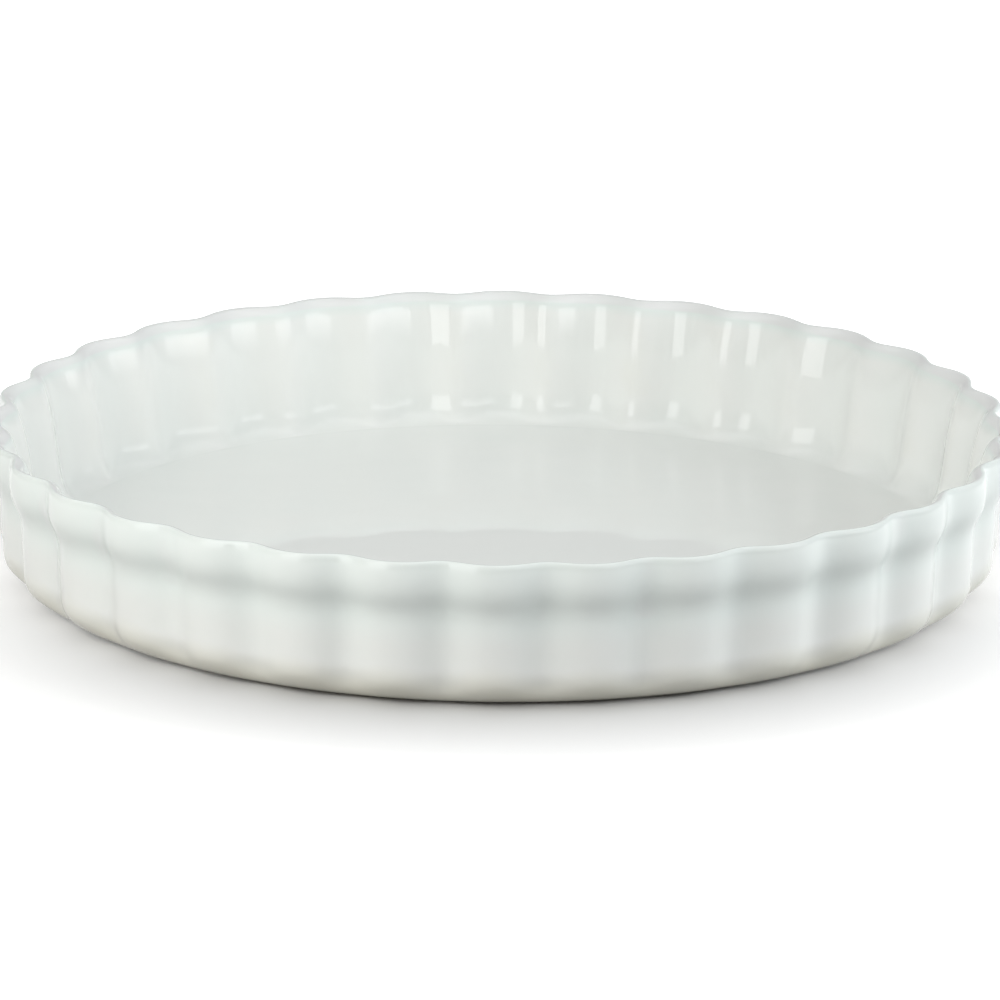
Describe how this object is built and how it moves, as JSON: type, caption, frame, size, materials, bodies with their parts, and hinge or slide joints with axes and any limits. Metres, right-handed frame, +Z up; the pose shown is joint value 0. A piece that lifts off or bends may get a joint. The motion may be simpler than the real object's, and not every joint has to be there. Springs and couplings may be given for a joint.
{
  "type": "tart dish",
  "caption": "Round shallow baking dish for tarts and quiches in white glazed stoneware, with a fluted wall, a flared scalloped rim and a flat floor on a dry foot ring.",
  "frame": {"origin": "on the table, at the centre of the foot ring", "axes": "+Z up out of the dish's mouth, with a flute crest on each of +X, -X, +Y and -Y"},
  "size_m": [0.2796, 0.2796, 0.041],
  "materials": {
    "stoneware": "bare fired clay, matt",
    "white_glaze": "glossy white glaze",
    "underside_glaze": "glossy white glaze"
  },
  "bodies": {
    "root": {"stoneware_body": "stoneware", "glaze_coat": "white_glaze", "underside_glaze": "underside_glaze"}
  },
  "joints": []
}
